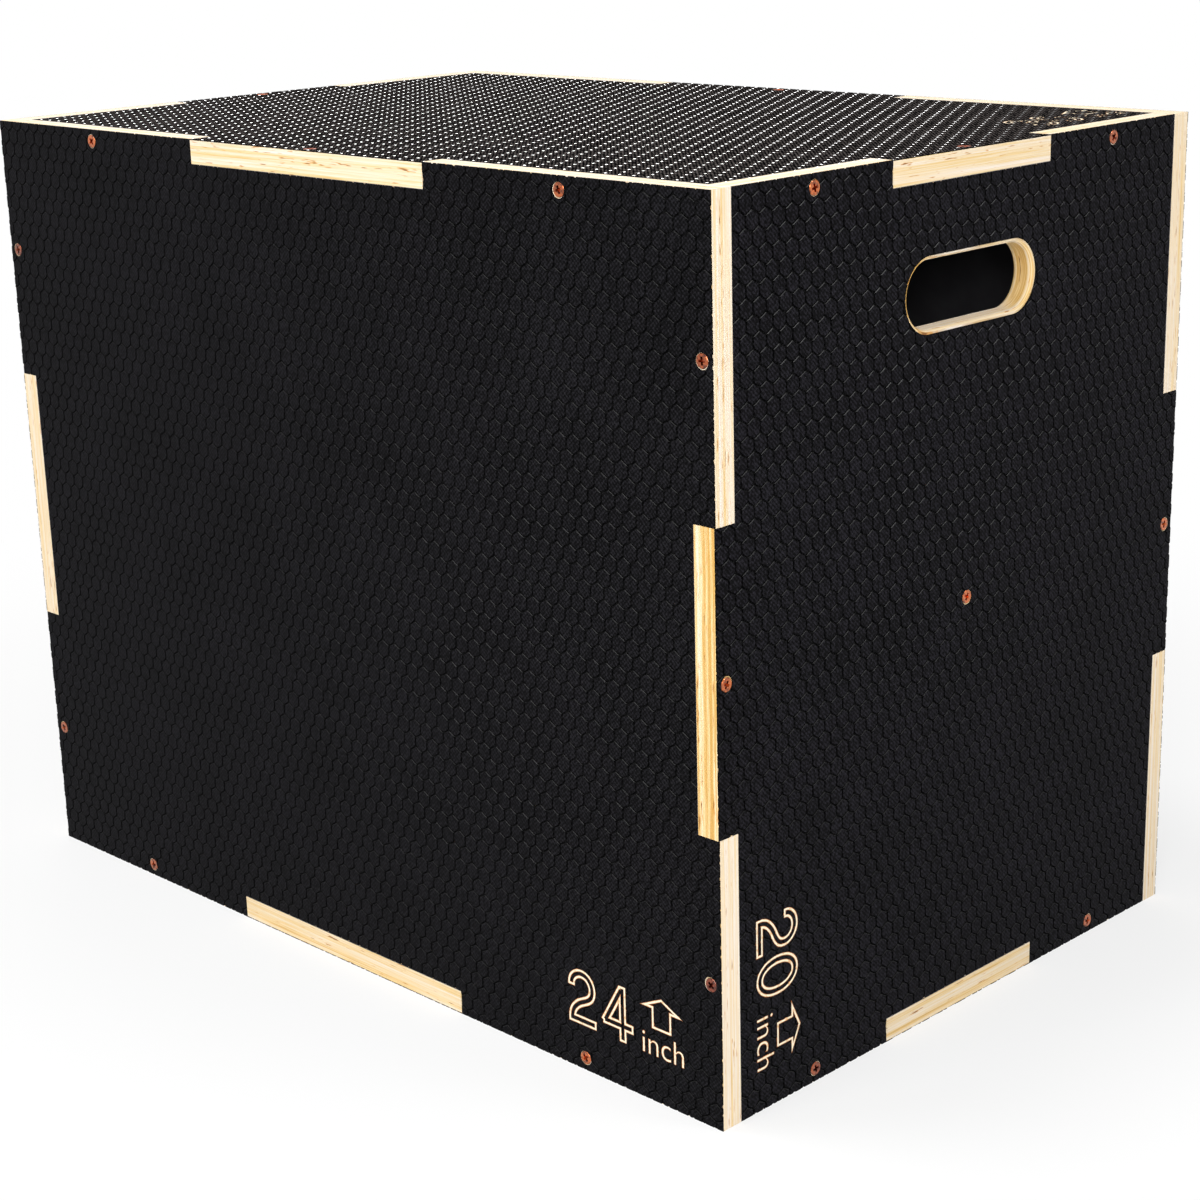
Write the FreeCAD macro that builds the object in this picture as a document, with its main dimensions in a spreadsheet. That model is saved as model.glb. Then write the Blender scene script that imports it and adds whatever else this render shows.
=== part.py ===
import FreeCAD
import Part
import Sketcher
import math
import os
import re
from collections import namedtuple

# Plyo box: six boards of film-faced plywood, finger-jointed at every edge and screwed together,
# with a brace inside between the two end boards.
# Millimetres, +Z up. The origin is the middle of the underside, +X runs along the longest side,
# and the front board looks towards -Y.

SIZES = [
    ("box_length", "762", "longest side, along X"),
    ("box_width", "508", "shortest side, along Y"),
    ("box_height", "609.6", "middle side, along Z"),
    ("board_thickness", "18", "plywood with both its films"),
    ("outer_film_thickness", "0.7", "embossed anti-slip film on the outer face"),
    ("inner_film_thickness", "0.3", "smooth film on the inner face"),
    ("fingers_per_edge", "3", "equal fingers that share an edge"),
    ("joint_clearance", "0.1", "play on each side of a tab in its notch"),
    ("handle_length", "136", "hand slot, end to end"),
    ("handle_height", "45.5", "hand slot, across"),
    ("handle_drop", "90.7", "top of the box to the middle of the hand slot"),
    ("handle_edge_radius", "4", "rounding of the hand slot's rims"),
    ("brace_height", "100", "depth of the inner brace, along Z"),
    ("screw_length", "45", "head to tip"),
    ("screw_diameter", "4.5", "shank"),
    ("screw_tip_length", "6", "pointed end of the shank"),
    ("head_diameter", "9.6", "countersunk head"),
    ("head_height", "3.2", "countersunk head with its rim"),
    ("head_rim", "0.6", "straight edge of the head"),
    ("head_sink", "0.2", "head below the film's face"),
    ("screw_clearance", "0.05", "play round the screw in its drilling"),
    ("recess_span", "5.4", "cross recess, tip to tip"),
    ("recess_width", "1.5", "cross recess, width of one arm"),
    ("recess_depth", "2.4", "cross recess"),
    ("cut_overrun", "5", "how far cutters run past what they cut"),
]

# Sketches are drawn on a ring of this size and take their real sizes from the sheet.
UNIT = 1

doc = FreeCAD.newDocument("plyo_box")
sheet = doc.addObject("Spreadsheet::Sheet", "Sizes")
for row, (alias, number, meaning) in enumerate(SIZES, start=1):
    sheet.set("A%d" % row, alias)
    sheet.set("B%d" % row, number)
    sheet.setAlias("B%d" % row, alias)
    sheet.set("C%d" % row, meaning)
doc.recompute()


def bind(item, setting, formula):
    """Tie a setting of an item to a formula written in the sheet's names."""
    item.setExpression(setting, re.sub("[a-z_]+", lambda word: "Sizes." + word.group(), formula))


# A seat is where a board lies: the middle of its outer face, and its own across, up and out directions.
Seat = namedtuple("Seat", "origin across up out")


def place(item, seat, across="0", up="0", out="0"):
    """Lay an item on a seat, moved along the seat's three directions by formulas."""
    directions = (seat.across, seat.up, seat.out)
    turn = FreeCAD.Rotation(*[FreeCAD.Vector(*direction) for direction in directions], "ZXY")
    item.Placement = FreeCAD.Placement(FreeCAD.Vector(), turn)
    for index, axis in enumerate("xyz"):
        terms = [seat.origin[index]]
        for direction, step in zip(directions, (across, up, out)):
            if direction[index]:
                terms.append("%d * (%s)" % (direction[index], step))
        bind(item, "Placement.Base." + axis, " + ".join(terms))


def new_sketch(body, role, name):
    """Start a sketch on one of a body's own origin planes."""
    sketch = body.newObject("Sketcher::SketchObject", name)
    plane = [feature for feature in body.Origin.OriginFeatures if feature.Role == role][0]
    sketch.AttachmentSupport = (plane, [""])
    sketch.MapMode = "FlatFace"
    return sketch


def hold(sketch, line, point, across, up):
    """Hold a point of a sketch line at two formulas, measured from the sketch's origin."""
    for kind, formula in (("DistanceX", across), ("DistanceY", up)):
        index = sketch.addConstraint(Sketcher.Constraint(kind, -1, 1, line, point, UNIT))
        bind(sketch, "Constraints[%d]" % index, formula)


def draw_outline(body, role, name, corners):
    """Draw a closed outline of straight lines whose corners are pairs of formulas."""
    sketch = new_sketch(body, role, name)
    count = len(corners)
    turns = [2 * math.pi * index / count for index in range(count)]
    ring = [UNIT * FreeCAD.Vector(math.cos(turn), math.sin(turn), 0) for turn in turns]
    for index in range(count):
        sketch.addGeometry(Part.LineSegment(ring[index], ring[(index + 1) % count]))
    for index in range(count):
        sketch.addConstraint(Sketcher.Constraint("Coincident", index, 2, (index + 1) % count, 1))
    for index, (across, up) in enumerate(corners):
        hold(sketch, index, 1, across, up)
    return sketch


def draw_slot(body, name, half_run, radius, up):
    """Draw a slot with round ends: two arcs on one level, joined by two straight lines."""
    sketch = new_sketch(body, "XY_Plane", name)
    right, rise = FreeCAD.Vector(UNIT, 0, 0), FreeCAD.Vector(0, UNIT, 0)
    quarter = math.pi / 2
    for side, start in ((1, -quarter), (-1, quarter)):
        circle = Part.Circle(side * right, FreeCAD.Vector(0, 0, 1), UNIT)
        sketch.addGeometry(Part.ArcOfCircle(circle, start, start + 2 * quarter))
    for side in (1, -1):
        sketch.addGeometry(Part.LineSegment(side * (right + rise), side * (rise - right)))
    for first, second in ((0, 2), (2, 1), (1, 3), (3, 0)):
        sketch.addConstraint(Sketcher.Constraint("Tangent", first, 2, second, 1))
    for arc, side in ((0, 1), (1, -1)):
        hold(sketch, arc, 3, "%d * %s" % (side, half_run), up)
        index = sketch.addConstraint(Sketcher.Constraint("Radius", arc, UNIT))
        bind(sketch, "Constraints[%d]" % index, radius)
    return sketch


def spin(name, profile):
    """Turn a profile, pairs of radius and height, into a round body about its own Z axis."""
    body = doc.addObject("PartDesign::Body", name)
    sketch = draw_outline(body, "XZ_Plane", name + "_profile", profile)
    turned = body.newObject("PartDesign::Revolution", name + "_turned")
    turned.Profile = sketch
    turned.ReferenceAxis = (sketch, ["V_Axis"])
    turned.Angle = 360
    doc.recompute()
    return body


def make_screw():
    """Countersunk wood screw: head's top at the origin, shank down along -Z, cross recess."""
    head, shank = "head_diameter / 2", "screw_diameter / 2"
    body = spin("screw", [
        ("0", "0"),
        (head, "0"),
        (head, "-head_rim"),
        (shank, "-head_height"),
        (shank, "screw_tip_length - screw_length"),
        ("0", "-screw_length"),
    ])
    tip, arm = "recess_span / 2", "recess_width / 2"
    corners = []
    for side_x, side_y in ((1, 1), (-1, 1), (-1, -1), (1, -1)):
        quarter = [(tip, arm), (arm, arm), (arm, tip)]
        if side_x != side_y:
            quarter.reverse()
        corners += [("%d * %s" % (side_x, x), "%d * %s" % (side_y, y)) for x, y in quarter]
    solid_head = body.Shape.Volume
    recess = body.newObject("PartDesign::Pocket", "recess")
    recess.Profile = draw_outline(body, "XY_Plane", "recess_cross", corners)
    bind(recess, "Length", "recess_depth")
    doc.recompute()
    if recess.Shape.Volume >= solid_head:
        raise RuntimeError("the cross recess cuts nothing")
    return body


def make_drilling():
    """The hole that a screw needs: countersink, clearance and pilot in one, open past the face."""
    head, shank = "head_diameter / 2 + screw_clearance", "screw_diameter / 2 + screw_clearance"
    end = "-(screw_length + screw_clearance)"
    return spin("drilling", [
        ("0", "cut_overrun"),
        (head, "cut_overrun"),
        (head, "-head_rim"),
        (shank, "-head_height"),
        (shank, end),
        ("0", end),
    ])


# A board's spans are its sizes across and up. An edge pair is notched where the board keeps its corners
# and takes its neighbour's tab, and tabbed where the board stands back at its corners.
Board = namedtuple("Board", "name seat across_span up_span side_edges end_edges has_handle")

HALF_LENGTH, HALF_WIDTH, HALF_HEIGHT = "box_length / 2", "box_width / 2", "box_height / 2"
EAST, WEST, NORTH, SOUTH, UP, DOWN = (1, 0, 0), (-1, 0, 0), (0, 1, 0), (0, -1, 0), (0, 0, 1), (0, 0, -1)

BOARDS = [
    Board("front", Seat(("0", "-" + HALF_WIDTH, HALF_HEIGHT), EAST, UP, SOUTH),
          "box_length", "box_height", "notched", "notched", False),
    Board("back", Seat(("0", HALF_WIDTH, HALF_HEIGHT), WEST, UP, NORTH),
          "box_length", "box_height", "notched", "notched", False),
    Board("right", Seat((HALF_LENGTH, "0", HALF_HEIGHT), NORTH, UP, EAST),
          "box_width", "box_height", "tabbed", "notched", True),
    Board("left", Seat(("-" + HALF_LENGTH, "0", HALF_HEIGHT), SOUTH, UP, WEST),
          "box_width", "box_height", "tabbed", "notched", True),
    Board("top", Seat(("0", "0", "box_height"), EAST, NORTH, UP),
          "box_length", "box_width", "tabbed", "tabbed", False),
    Board("bottom", Seat(("0", "0", "0"), EAST, SOUTH, DOWN),
          "box_length", "box_width", "tabbed", "tabbed", False),
]

# The brace stands lengthwise in the middle of the box, its front face half a board ahead of the middle.
BRACE_SEAT = Seat(("0", "-board_thickness / 2", HALF_HEIGHT), EAST, UP, SOUTH)
BRACE_LENGTH = "(box_length - 2 * board_thickness)"


def edge_lines(span, edges):
    """How far out a pair of opposite edges runs: at the corners, and along the middle finger."""
    outer = "(%s / 2)" % span
    inner = "(%s / 2 - board_thickness)" % span
    return (outer, inner) if edges == "notched" else (inner, outer)


def half_finger(span, edges):
    """Half the width of the middle finger of an edge: the notch, or the tab with its play."""
    notch = "(%s / fingers_per_edge / 2)" % span
    return notch if edges == "notched" else "(%s - joint_clearance)" % notch


def board_corners(board):
    """The board's outline, from its lower left corner round: four corners, four middle fingers."""
    side_corner, side_middle = edge_lines(board.across_span, board.side_edges)
    end_corner, end_middle = edge_lines(board.up_span, board.end_edges)
    end_half = half_finger(board.across_span, board.end_edges)
    side_half = half_finger(board.up_span, board.side_edges)
    low_end = [("-" + side_corner, "-" + end_corner), ("-" + end_half, "-" + end_corner),
               ("-" + end_half, "-" + end_middle), (end_half, "-" + end_middle),
               (end_half, "-" + end_corner)]
    right_side = [(side_corner, "-" + end_corner), (side_corner, "-" + side_half),
                  (side_middle, "-" + side_half), (side_middle, side_half), (side_corner, side_half)]
    high_end = [(side_corner, end_corner), (end_half, end_corner), (end_half, end_middle),
                ("-" + end_half, end_middle), ("-" + end_half, end_corner)]
    left_side = [("-" + side_corner, end_corner), ("-" + side_corner, side_half),
                 ("-" + side_middle, side_half), ("-" + side_middle, "-" + side_half),
                 ("-" + side_corner, "-" + side_half)]
    return low_end + right_side + high_end + left_side


def finger_middles(span, corner_line, edges):
    """Places of the screws along one edge: in each corner finger, or in the middle of the tab."""
    if edges == "tabbed":
        return ["0"]
    middle = "(%s + %s / fingers_per_edge / 2) / 2" % (corner_line, span)
    return ["-" + middle, middle]


def screw_places(board):
    """Every screw of a board, half a neighbour's thickness in from the edge, and the brace's screw."""
    side_corner = edge_lines(board.across_span, board.side_edges)[0]
    end_corner = edge_lines(board.up_span, board.end_edges)[0]
    side_line = "(%s / 2 - board_thickness / 2)" % board.across_span
    end_line = "(%s / 2 - board_thickness / 2)" % board.up_span
    places = []
    for sign in ("-", ""):
        for across in finger_middles(board.across_span, side_corner, board.end_edges):
            places.append((across, sign + end_line))
        for up in finger_middles(board.up_span, end_corner, board.side_edges):
            places.append((sign + side_line, up))
    if board.has_handle:
        places.append(("0", "0"))
    return places


def copies(master, board, name):
    """Set linked copies of a screw, or of its drilling, in all the places of a board."""
    links = []
    for number, (across, up) in enumerate(screw_places(board), start=1):
        link = doc.addObject("App::Link", "%s_%s_%d" % (board.name, name, number))
        link.LinkedObject = master
        place(link, board.seat, across, up, "-head_sink")
        links.append(link)
    return links


def make_blank(name, seat, corners):
    """Saw a board to its outline: the outer face lies in the seat, the thickness goes inwards."""
    body = doc.addObject("PartDesign::Body", name + "_blank")
    pad = body.newObject("PartDesign::Pad", name + "_sheet")
    pad.Profile = draw_outline(body, "XY_Plane", name + "_outline", corners)
    pad.Reversed = True
    bind(pad, "Length", "board_thickness")
    place(body, seat)
    doc.recompute()
    return body


def cut_handle(body, name):
    """Rout the hand slot through an end board and round its rims on both faces."""
    whole_board = body.Shape.Volume
    slot = draw_slot(body, name + "_slot", "(handle_length - handle_height) / 2", "handle_height / 2",
                     "box_height / 2 - handle_drop")
    pocket = body.newObject("PartDesign::Pocket", name + "_handle")
    pocket.Profile = slot
    pocket.Type = "ThroughAll"
    doc.recompute()
    if pocket.Shape.Volume >= whole_board:
        raise RuntimeError("the hand slot cuts nothing")
    slot_area = slot.Shape.BoundBox
    slot_area.enlarge(sheet.handle_edge_radius)
    rims = []
    for number, edge in enumerate(pocket.Shape.Edges, start=1):
        middle = edge.BoundBox.Center
        lies_flat = edge.BoundBox.ZLength < sheet.handle_edge_radius
        if lies_flat and slot_area.isInside(FreeCAD.Vector(middle.x, middle.y, 0)):
            rims.append("Edge%d" % number)
    rounding = body.newObject("PartDesign::Fillet", name + "_rims")
    rounding.Base = (pocket, rims)
    bind(rounding, "Radius", "handle_edge_radius")
    doc.recompute()


def make_layers(name, seat, blank, drillings, across_span, up_span, labels):
    """Drill a board and part it through its thickness into outer film, plywood and inner film."""
    drilled = doc.addObject("Part::Cut", name + "_drilled")
    drilled.Base = blank
    drilled.Tool = drillings
    depths = [
        ("outer_film_thickness + cut_overrun", "-outer_film_thickness"),
        ("board_thickness - outer_film_thickness - inner_film_thickness",
         "inner_film_thickness - board_thickness"),
        ("inner_film_thickness + cut_overrun", "-board_thickness - cut_overrun"),
    ]
    layers = []
    for label, (depth, floor) in zip(labels, depths):
        slab = doc.addObject("Part::Box", label + "_slab")
        bind(slab, "Length", across_span + " + 2 * cut_overrun")
        bind(slab, "Width", up_span + " + 2 * cut_overrun")
        bind(slab, "Height", depth)
        corner = ["-(%s / 2 + cut_overrun)" % span for span in (across_span, up_span)]
        place(slab, seat, corner[0], corner[1], floor)
        layer = doc.addObject("Part::Common", label)
        layer.Base = drilled
        layer.Tool = slab
        layer.Refine = True
        layer.Label = label
        layers.append(layer)
    return layers


nodes = []
screw = make_screw()
drilling = make_drilling()
drillings = doc.addObject("Part::Compound", "drillings")
drillings.Links = [link for board in BOARDS for link in copies(drilling, board, "drilling")]

for board in BOARDS:
    blank = make_blank(board.name, board.seat, board_corners(board))
    if board.has_handle:
        cut_handle(blank, board.name)
    labels = [board.name + end for end in ("_outer_film", "_board", "_inner_film")]
    nodes += make_layers(board.name, board.seat, blank, drillings, board.across_span, board.up_span, labels)
    screws = doc.addObject("Part::Compound", board.name + "_screws")
    screws.Links = copies(screw, board, "screw")
    screws.Label = board.name + "_screws"
    nodes.append(screws)

half_brace, half_rise = BRACE_LENGTH + " / 2", "brace_height / 2"
brace_corners = [("-" + half_brace, "-" + half_rise), (half_brace, "-" + half_rise),
                 (half_brace, half_rise), ("-" + half_brace, half_rise)]
brace = make_blank("brace", BRACE_SEAT, brace_corners)
brace_labels = ["brace_front_film", "brace_board", "brace_back_film"]
nodes += make_layers("brace", BRACE_SEAT, brace, drillings, BRACE_LENGTH, "brace_height", brace_labels)

doc.recompute()
for item in doc.Objects:
    if "Invalid" in item.State or "Error" in item.State:
        raise RuntimeError("%s did not build" % item.Label)
for node in nodes:
    if node.Shape.isNull() or not node.Shape.isValid() or not node.Shape.Solids:
        raise RuntimeError("%s has no sound solid" % node.Label)

os.makedirs("parts", exist_ok=True)
for node in nodes:
    node.Shape.exportStep(os.path.join("parts", node.Label + ".step"))
    print("%s: %d solids, %.1f cm3" % (node.Label, len(node.Shape.Solids), node.Shape.Volume / 1000))
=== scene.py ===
import math
import random

import bpy
from mathutils import Matrix, Quaternion, Vector


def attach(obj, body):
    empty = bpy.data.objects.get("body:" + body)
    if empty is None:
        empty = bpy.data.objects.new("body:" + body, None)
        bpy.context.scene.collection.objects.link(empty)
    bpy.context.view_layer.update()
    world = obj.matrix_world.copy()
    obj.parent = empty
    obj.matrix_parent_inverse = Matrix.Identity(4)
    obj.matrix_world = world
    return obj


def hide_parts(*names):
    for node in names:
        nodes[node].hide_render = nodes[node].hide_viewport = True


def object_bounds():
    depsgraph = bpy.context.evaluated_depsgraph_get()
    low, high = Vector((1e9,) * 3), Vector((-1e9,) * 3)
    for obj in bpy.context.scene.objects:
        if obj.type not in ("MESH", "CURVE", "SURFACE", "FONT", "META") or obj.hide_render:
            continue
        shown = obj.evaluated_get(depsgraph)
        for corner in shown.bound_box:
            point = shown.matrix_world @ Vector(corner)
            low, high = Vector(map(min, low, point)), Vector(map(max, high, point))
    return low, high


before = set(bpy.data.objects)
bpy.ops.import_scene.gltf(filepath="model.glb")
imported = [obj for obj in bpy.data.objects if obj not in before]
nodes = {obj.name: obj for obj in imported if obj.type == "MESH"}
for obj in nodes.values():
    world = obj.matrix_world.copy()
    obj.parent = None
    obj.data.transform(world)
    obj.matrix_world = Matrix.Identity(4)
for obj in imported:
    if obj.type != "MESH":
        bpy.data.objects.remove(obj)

# The boards: pale 18 mm plywood, its veneers laid crosswise and pressed, then sawn and routed, so
# that every edge and the wall of each hand slot shows the plies. They are the frame's own solids.
cad_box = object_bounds()
mm = 0.001
box_centre = (cad_box[0] + cad_box[1]) / 2
box_half = (cad_box[1] - cad_box[0]) / 2
film_depth = 0.7 * mm
ply_depth = 1.89 * mm
ply_wander = 0.9 * mm
glue_share = 0.05
pale_reach = 46 * mm
pale_fade = 14 * mm
pale_rim = 50 * mm
lot_step = 9.0
lot_share = 0.18
streak_share = 0.5
stain_share = 0.5
glue_strength = 0.6
rust_strength = 0.8
rust_sink = 0.6
hollow_strength = 0.85
wood_rough = (0.62, 0.8)
wood_gloss = 0.25
grain_relief = 0.12 * mm
veneer_honey = (0.66, 0.38, 0.10)
veneer_straw = (0.86, 0.63, 0.30)
veneer_cream = (0.89, 0.735, 0.52)
veneer_pale = (0.91, 0.81, 0.70)
glue_brown = (0.62, 0.38, 0.15)
void_rust = (0.66, 0.30, 0.05)
void_brown = (0.22, 0.08, 0.02)


def node(tree, kind, **settings):
    made = tree.nodes.new("ShaderNode" + kind)
    for name, value in settings.items():
        setattr(made, name, value)
    return made


def feed(tree, socket, value):
    if isinstance(value, bpy.types.NodeSocket):
        tree.links.new(value, socket)
    else:
        socket.default_value = value


def calc(tree, operation, first, second=0.0):
    made = node(tree, "Math", operation=operation)
    feed(tree, made.inputs[0], first)
    feed(tree, made.inputs[1], second)
    return made.outputs[0]


def stretched(tree, place, scale, shift=(0, 0, 0)):
    made = node(tree, "Mapping", vector_type="POINT")
    feed(tree, made.inputs["Vector"], place)
    made.inputs["Scale"].default_value = scale
    made.inputs["Location"].default_value = shift
    return made.outputs["Vector"]


def noise(tree, place, scale=1.0, detail=2.0):
    made = node(tree, "TexNoise")
    feed(tree, made.inputs["Vector"], place)
    made.inputs["Scale"].default_value = scale
    made.inputs["Detail"].default_value = detail
    return made.outputs["Fac"]


def ramp(tree, value, stops):
    made = node(tree, "ValToRGB")
    feed(tree, made.inputs["Fac"], value)
    band = made.color_ramp
    while len(band.elements) < len(stops):
        band.elements.new(0.5)
    for element, (position, colour) in zip(band.elements, stops):
        element.position = position
        element.color = (*colour, 1)
    return made.outputs["Color"]


def grey(level):
    return (level, level, level)


def grade(tree, value, start, end, low, high):
    """A grey that goes from low to high while the value goes from start to end."""
    return ramp(tree, value, [(start, grey(low)), (end, grey(high))])


def tinted(tree, share, under, over):
    made = node(tree, "Mix", data_type="RGBA")
    feed(tree, made.inputs["Factor"], share)
    feed(tree, made.inputs["A"], under)
    feed(tree, made.inputs["B"], over)
    return made.outputs["Result"]


def bumped(tree, height, depth, strength=1.0):
    made = node(tree, "Bump")
    made.inputs["Strength"].default_value = strength
    made.inputs["Distance"].default_value = depth
    feed(tree, made.inputs["Height"], height)
    return made.outputs["Normal"]


def finish_of(name):
    material = bpy.data.materials.new(name)
    material.use_nodes = True
    tree = material.node_tree
    return material, tree, tree.nodes["Principled BSDF"]


def dress(piece, *materials):
    piece.data.materials.clear()
    for material in materials:
        piece.data.materials.append(material)


def plywood(board, axis, face, batch, honey_and_slot_shade):
    """Plies square to one axis, counted from a face that far from the middle. The honey share turns the
    wood to honey. An end board, whose plies are square to the first axis, has less of it along its hand
    slot and at its top and bottom rims. What stays on the slot's curved ends is painted shade as well as
    wood
    tone: the amber of light bounced about in the slot."""
    material, tree, shader = finish_of("plywood_of_" + board)
    place = stretched(tree, node(tree, "TexCoord").outputs["Object"], (1, 1, 1), -box_centre)
    parts = node(tree, "SeparateXYZ")
    feed(tree, parts.inputs[0], place)

    def grain(along, across, detail, shift):
        scale = [along, along, along]
        scale[axis] = across
        shifts = (shift, shift + batch, shift - batch)
        return noise(tree, stretched(tree, place, scale, shifts), detail=detail)

    sway = calc(tree, "SUBTRACT", grain(along=22.0, across=3.0, detail=2.0, shift=0.0), 0.5)
    depth = calc(tree, "SUBTRACT", face, calc(tree, "ABSOLUTE", parts.outputs[axis]))
    depth = calc(tree, "ADD", depth, calc(tree, "MULTIPLY", sway, ply_wander))
    count = calc(tree, "DIVIDE", depth, ply_depth)
    within = calc(tree, "FRACT", count)
    lot = node(tree, "TexWhiteNoise", noise_dimensions="1D")
    feed(tree, lot.inputs["W"], calc(tree, "ADD", calc(tree, "FLOOR", count), batch * lot_step))
    streak = grain(along=20.0, across=1500.0, detail=4.0, shift=0.0)
    stain = grain(along=6.0, across=420.0, detail=2.0, shift=5.0)
    tone = calc(tree, "MULTIPLY", lot.outputs["Value"], lot_share)
    tone = calc(tree, "ADD", tone, calc(tree, "MULTIPLY", streak, streak_share))
    tone = calc(tree, "ADD", tone, calc(tree, "MULTIPLY", stain, stain_share))
    # On an end board the honey is taken from the middle of the hand slot and from the top and bottom rims;
    # what stays on the slot's curved ends is painted shade as well as wood tone.
    if axis == 0:
        for side, start, end in (
            (1, pale_reach, pale_reach + pale_fade),
            (2, box_half.z - pale_rim + pale_fade, box_half.z - pale_rim),
        ):
            rise = node(tree, "MapRange")
            feed(tree, rise.inputs["Value"], calc(tree, "ABSOLUTE", parts.outputs[side]))
            rise.inputs["From Min"].default_value = start
            rise.inputs["From Max"].default_value = end
            honey_and_slot_shade = calc(tree, "MULTIPLY", rise.outputs["Result"], honey_and_slot_shade)
    tone = calc(tree, "SUBTRACT", tone, honey_and_slot_shade)
    wood = ramp(tree, tone, [
        (0.30, veneer_honey), (0.41, veneer_straw), (0.54, veneer_cream), (0.70, veneer_pale)
    ])
    edge = calc(tree, "ABSOLUTE", calc(tree, "SUBTRACT", within, 0.5))
    glue = grade(tree, edge, 0.5 - glue_share, 0.5, 0, glue_strength)
    wood = tinted(tree, glue, wood, (*glue_brown, 1))
    split = grain(along=85.0, across=1000.0, detail=1.0, shift=2.0)
    patch = grain(along=7.0, across=380.0, detail=1.0, shift=11.0)
    gap = calc(tree, "MULTIPLY", split, calc(tree, "ADD", patch, 0.5))
    rust = grade(tree, gap, 0.69, 0.76, 0, rust_strength)
    wood = tinted(tree, rust, wood, (*void_rust, 1))
    hollow = grade(tree, gap, 0.78, 0.84, 0, hollow_strength)
    wood = tinted(tree, hollow, wood, (*void_brown, 1))
    feed(tree, shader.inputs["Base Color"], wood)
    feed(tree, shader.inputs["Roughness"], grade(tree, streak, 0.3, 0.7, *wood_rough))
    shader.inputs["Specular IOR Level"].default_value = wood_gloss
    relief = calc(tree, "SUBTRACT", streak, calc(tree, "MULTIPLY", rust, rust_sink))
    feed(tree, shader.inputs["Normal"], bumped(tree, relief, grain_relief, strength=0.6))
    return material


brace_half = 9 * mm
for batch, (board, axis, half, honey_and_slot_shade) in enumerate((
    ("front_board", 1, box_half.y, 0.03),
    ("back_board", 1, box_half.y, 0.04),
    # The right board's larger honey share is wood tone, and on its hand slot's ends painted shade too.
    ("right_board", 0, box_half.x, 0.19),
    ("left_board", 0, box_half.x, 0.02),
    ("top_board", 2, box_half.z, 0.05),
    ("bottom_board", 2, box_half.z, 0.08),
    ("brace_board", 1, brace_half, 0.06),
)):
    dress(nodes[board], plywood(board, axis, half - film_depth, batch, honey_and_slot_shade))

# The inner faces and the brace's back: a smooth phenolic film pressed on to the plywood, dark grey,
# with the faint mottling and press marks of such a film.
inner_grey = (0.085, 0.082, 0.090)
inner_grey_worn = (0.135, 0.130, 0.142)
inner_rough = (0.32, 0.5)
press_relief = 0.05 * mm
inner_film, tree, shader = finish_of("smooth_inner_film")
place = node(tree, "TexCoord").outputs["Object"]
mottle = noise(tree, place, scale=35.0, detail=5.0)
feed(tree, shader.inputs["Base Color"], ramp(tree, mottle, [(0.35, inner_grey), (0.75, inner_grey_worn)]))
feed(tree, shader.inputs["Roughness"], grade(tree, mottle, 0.3, 0.8, *inner_rough))
press_marks = noise(tree, place, scale=900.0)
feed(tree, shader.inputs["Normal"], bumped(tree, press_marks, press_relief, strength=0.4))
for name in ("front", "back", "right", "left", "top", "bottom"):
    dress(nodes[name + "_inner_film"], inner_film)
dress(nodes["brace_back_film"], inner_film)

# The outer faces and the brace's front: an anti-slip phenolic film, near-black. On the box it is pressed
# with raised hexagons that grooves part, on top and below with a shiny crest on each. It ends at the
# board's outline, nicked by the saw, round each screw, and short of the hand slot.
hexagon_pitch = 12.1 * mm
hexagon_rise = hexagon_pitch * math.sqrt(3) / 2
hexagon_radius = hexagon_pitch / math.sqrt(3)
groove_run = 0.38 * mm
groove_floor = 0.28 * mm
wall_run = 0.37 * mm
wall_rise = 0.37 * mm
corner_cut = 1.0 * mm
crest_radius = 1.05 * mm
crest_rise = 0.03 * mm
spare_columns = 3
spare_row_pairs = 2
trim_under = 0.06 * mm
weld = 0.01 * mm
slot_length = 136 * mm
slot_height = 45.5 * mm
slot_drop = 90.7 * mm
slot_bare = 3 * mm
slot_sides = 96
tool_depth = 4 * film_depth
facing = 0.5
nick_seed = 3
nick_spacing = 8 * mm
nick_stray = 0.3
nick_radius = (0.3 * mm, 0.8 * mm)
nick_stretch = (1.0, 2.4)
nick_sides = 7
thread_share = 0.2
relief_wear = 0.8
mottle_wear = 0.2
cell_rough = (0.52, 0.66)
wall_rough = (0.24, 0.44)
groove_rough = (0.60, 0.70)
tread_rough = (0.80, 0.92)
crest_rough = (0.15, 0.22)
cell_weave = 0.06 * mm
tread_weave = 0.10 * mm
plain_weave = 0.01 * mm
film_black = (0.0024, 0.0023, 0.0027)
film_black_worn = (0.0158, 0.0151, 0.0180)
# The end faces' worn tone is lighter and bluer than the long faces': painted light on the same film.
end_film_worn_and_painted_light = (0.0195, 0.0183, 0.0234)
# The top's and bottom's worn tone is far lighter and warmer: painted sheen in place of the film's
# reflection, as well as wear.
tread_worn_and_painted_sheen = (0.1040, 0.0900, 0.0850)
# The groove tones are darker than the cells': on the walls and in the grooves they are painted shade. The
# crests share them.
groove_tones = ((0.0006, 0.0006, 0.0007), (0.0090, 0.0087, 0.0092))

faces = {
    "front": (Vector((1, 0, 0)), Vector((0, 0, 1)), Vector((0, -1, 0))),
    "back": (Vector((-1, 0, 0)), Vector((0, 0, 1)), Vector((0, 1, 0))),
    "right": (Vector((0, 1, 0)), Vector((0, 0, 1)), Vector((1, 0, 0))),
    "left": (Vector((0, -1, 0)), Vector((0, 0, 1)), Vector((-1, 0, 0))),
    "top": (Vector((1, 0, 0)), Vector((0, 1, 0)), Vector((0, 0, 1))),
    "bottom": (Vector((1, 0, 0)), Vector((0, -1, 0)), Vector((0, 0, -1))),
}


def reach(direction):
    """Half the box along one of its axes."""
    return abs(direction.dot(box_half))


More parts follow.
